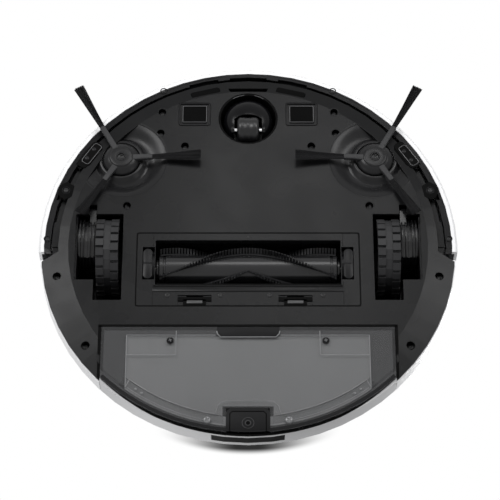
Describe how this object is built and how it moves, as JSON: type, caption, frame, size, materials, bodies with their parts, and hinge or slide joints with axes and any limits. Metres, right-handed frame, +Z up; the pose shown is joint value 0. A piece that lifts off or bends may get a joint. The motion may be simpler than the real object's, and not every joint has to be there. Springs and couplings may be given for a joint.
{
  "type": "robot vacuum",
  "caption": "Round robot vacuum with a mop tank, spinning side brushes, a main brush, sprung drive wheels, a caster and a bumper.",
  "frame": {"origin": "on the floor, under the centre of the round body", "axes": "+Z up; the robot drives towards -Y; +X is the robot's own left; the tank slides out towards +Y"},
  "size_m": [0.35, 0.3485, 0.078],
  "materials": {
    "white_shell": "satin white",
    "charcoal_plastic": "fine moulded texture",
    "black_plastic": "satin black",
    "gloss_black": "polished black",
    "rubber": "matt",
    "bristle": "nylon bristle",
    "smoked_clear": "smoked translucent",
    "pale_plastic": "pale grey",
    "steel": "turned",
    "circuit": "green board"
  },
  "bodies": {
    "chassis": {"base_plate": "charcoal_plastic", "brush_housing": "black_plastic", "top_cover": "white_shell", "caster_cup": "black_plastic", "brush_cover": "charcoal_plastic", "suction_duct": "black_plastic", "battery_pack": "black_plastic", "main_board": "circuit", "suction_fan": "black_plastic", "wheel_arch_left": "black_plastic", "side_brush_motor_left": "black_plastic", "brush_bearing_left": "black_plastic", "charging_contact_left": "gloss_black", "cliff_sensor_side_left": "gloss_black", "cliff_sensor_front_left": "gloss_black", "wheel_arch_right": "black_plastic", "side_brush_motor_right": "black_plastic", "brush_bearing_right": "black_plastic", "charging_contact_right": "gloss_black", "cliff_sensor_side_right": "gloss_black", "cliff_sensor_front_right": "gloss_black"},
    "bumper": {"bumper_shell": "white_shell", "bumper_carrier": "black_plastic"},
    "power_button": {"power_button": "pale_plastic"},
    "home_button": {"home_button": "pale_plastic"},
    "caster_fork": {"caster_fork": "gloss_black", "caster_axle": "steel"},
    "caster_wheel": {"caster_wheel": "black_plastic"},
    "main_brush": {"main_brush_core": "gloss_black", "main_brush_bristles_1": "bristle", "main_brush_bristles_2": "bristle", "main_brush_bristles_3": "bristle", "main_brush_bristles_4": "bristle"},
    "cover_latch_1": {"brush_cover_latch_1": "black_plastic"},
    "cover_latch_2": {"brush_cover_latch_2": "black_plastic"},
    "tank": {"tank_shell": "smoked_clear", "tank_lid": "charcoal_plastic", "tank_rear_panel": "white_shell", "tank_tray": "pale_plastic", "dust_filter": "pale_plastic"},
    "tank_button": {"tank_release_button": "black_plastic"},
    "suspension_left": {"wheel_gearbox_left": "black_plastic"},
    "drive_wheel_left": {"tyre_left": "rubber", "wheel_rim_left": "black_plastic"},
    "side_brush_left": {"side_brush_hub_left": "black_plastic", "side_brush_bristles_left_1": "bristle", "side_brush_bristles_left_2": "bristle", "side_brush_bristles_left_3": "bristle"},
    "suspension_right": {"wheel_gearbox_right": "black_plastic"},
    "drive_wheel_right": {"tyre_right": "rubber", "wheel_rim_right": "black_plastic"},
    "side_brush_right": {"side_brush_hub_right": "black_plastic", "side_brush_bristles_right_1": "bristle", "side_brush_bristles_right_2": "bristle", "side_brush_bristles_right_3": "bristle"}
  },
  "joints": [
    {"name": "bumper_press", "type": "slide", "parent": "chassis", "child": "bumper", "axis": [0, 1, 0], "range_m": [0, 0.0028], "stiffness_N_per_m": 400, "springref_m": -0.003},
    {"name": "power_button_press", "type": "slide", "parent": "chassis", "child": "power_button", "axis": [0, 0, -1], "range_m": [0, 0.0015], "stiffness_N_per_m": 300, "springref_m": -0.001},
    {"name": "home_button_press", "type": "slide", "parent": "chassis", "child": "home_button", "axis": [0, 0, -1], "range_m": [0, 0.0015], "stiffness_N_per_m": 300, "springref_m": -0.001},
    {"name": "caster_swivel", "type": "hinge", "parent": "chassis", "child": "caster_fork", "pos_m": [0, -0.1225, 0.03], "axis": [0, 0, 1], "continuous": true},
    {"name": "caster_roll", "type": "hinge", "parent": "caster_fork", "child": "caster_wheel", "pos_m": [0, -0.1113, 0.011], "axis": [1, 0, 0], "continuous": true},
    {"name": "main_brush_spin", "type": "hinge", "parent": "chassis", "child": "main_brush", "pos_m": [0, 0.0185, 0.024], "axis": [1, 0, 0], "continuous": true},
    {"name": "cover_latch_1_slide", "type": "slide", "parent": "chassis", "child": "cover_latch_1", "axis": [0, -1, 0], "range_m": [0, 0.003], "stiffness_N_per_m": 200, "springref_m": -0.001},
    {"name": "cover_latch_2_slide", "type": "slide", "parent": "chassis", "child": "cover_latch_2", "axis": [0, -1, 0], "range_m": [0, 0.003], "stiffness_N_per_m": 200, "springref_m": -0.001},
    {"name": "tank_slide", "type": "slide", "parent": "chassis", "child": "tank", "axis": [0, 1, 0], "range_m": [0, 0.12]},
    {"name": "tank_button_press", "type": "slide", "parent": "tank", "child": "tank_button", "axis": [0, -1, 0], "range_m": [0, 0.0025], "stiffness_N_per_m": 300, "springref_m": -0.001},
    {"name": "suspension_left_swing", "type": "hinge", "parent": "chassis", "child": "suspension_left", "pos_m": [0.13025, -0.033, 0.0173], "axis": [-1, 0, 0], "range_deg": [0, 18.5], "stiffness_Nm_per_rad": 0.25, "springref_deg": 34.38},
    {"name": "drive_wheel_left_spin", "type": "hinge", "parent": "suspension_left", "child": "drive_wheel_left", "pos_m": [0.1172, 0.0015, 0.0325], "axis": [1, 0, 0], "continuous": true},
    {"name": "side_brush_left_spin", "type": "hinge", "parent": "chassis", "child": "side_brush_left", "pos_m": [0.108, -0.082, 0.009], "axis": [0, 0, 1], "continuous": true},
    {"name": "suspension_right_swing", "type": "hinge", "parent": "chassis", "child": "suspension_right", "pos_m": [-0.13025, -0.033, 0.0173], "axis": [-1, 0, 0], "range_deg": [0, 18.5], "stiffness_Nm_per_rad": 0.25, "springref_deg": 34.38},
    {"name": "drive_wheel_right_spin", "type": "hinge", "parent": "suspension_right", "child": "drive_wheel_right", "pos_m": [-0.1172, 0.0015, 0.0325], "axis": [1, 0, 0], "continuous": true},
    {"name": "side_brush_right_spin", "type": "hinge", "parent": "chassis", "child": "side_brush_right", "pos_m": [-0.108, -0.082, 0.009], "axis": [0, 0, 1], "continuous": true}
  ]
}
